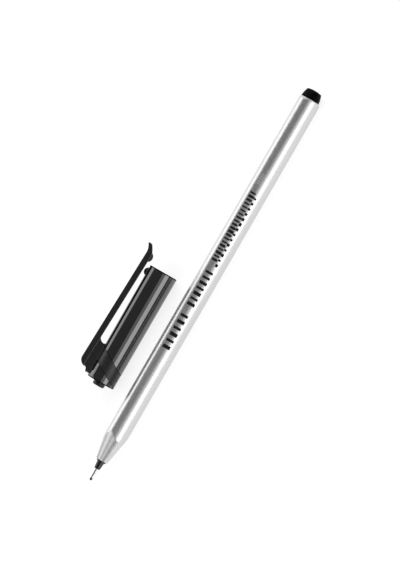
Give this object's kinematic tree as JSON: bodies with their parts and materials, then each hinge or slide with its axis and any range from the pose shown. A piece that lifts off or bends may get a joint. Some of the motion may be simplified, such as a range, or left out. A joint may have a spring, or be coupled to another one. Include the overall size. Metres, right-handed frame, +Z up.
{
  "type": "capped ballpoint pen",
  "caption": "Slim stick ballpoint pen with a soft-triangular silver barrel, needle point and black end plug, its black clip cap taken off and laid beside it.",
  "frame": {"origin": "on the table, at the middle of the pen's length, on the flat of the face that the barrel lies on", "axes": "+X along the pen from its point to its end plug, +Y across the table towards the cap, +Z up"},
  "size_m": [0.145, 0.027, 0.0109],
  "materials": {
    "silver_plastic": "metallic silver, satin gloss",
    "black_plastic": "glossy black",
    "cap_plastic": "glossy black with a matt band",
    "tube_plastic": "cloudy clear",
    "ink": "wet black",
    "needle_steel": "drawn steel",
    "ball_metal": "polished carbide"
  },
  "bodies": {
    "pen": {"barrel": "silver_plastic", "end_plug": "black_plastic", "refill_tube": "tube_plastic", "ink_column": "ink", "tip_holder": "black_plastic", "needle": "needle_steel"},
    "ball": {"ball": "ball_metal"},
    "cap": {"cap_shell": "cap_plastic", "cap_vent_plug": "cap_plastic", "clip_neck": "cap_plastic"},
    "clip": {"clip_arm": "cap_plastic"}
  },
  "joints": [
    {"name": "cap_slide", "type": "slide", "parent": "pen", "child": "cap", "axis": [-0.9947, -0.103, 0], "range_m": [0, 0.14075]},
    {"name": "clip_flex", "type": "hinge", "parent": "cap", "child": "clip", "pos_m": [-0.02908, 0.02132, 0.00874], "axis": [0, -0.5, 0.866], "range_deg": [0, 5], "stiffness_Nm_per_rad": 0.3, "deforming": ["clip_neck"]},
    {"name": "ball_roll", "type": "hinge", "parent": "pen", "child": "ball", "pos_m": [-0.07212, 0, 0.00355], "axis": [0, 1, 0], "continuous": true}
  ]
}
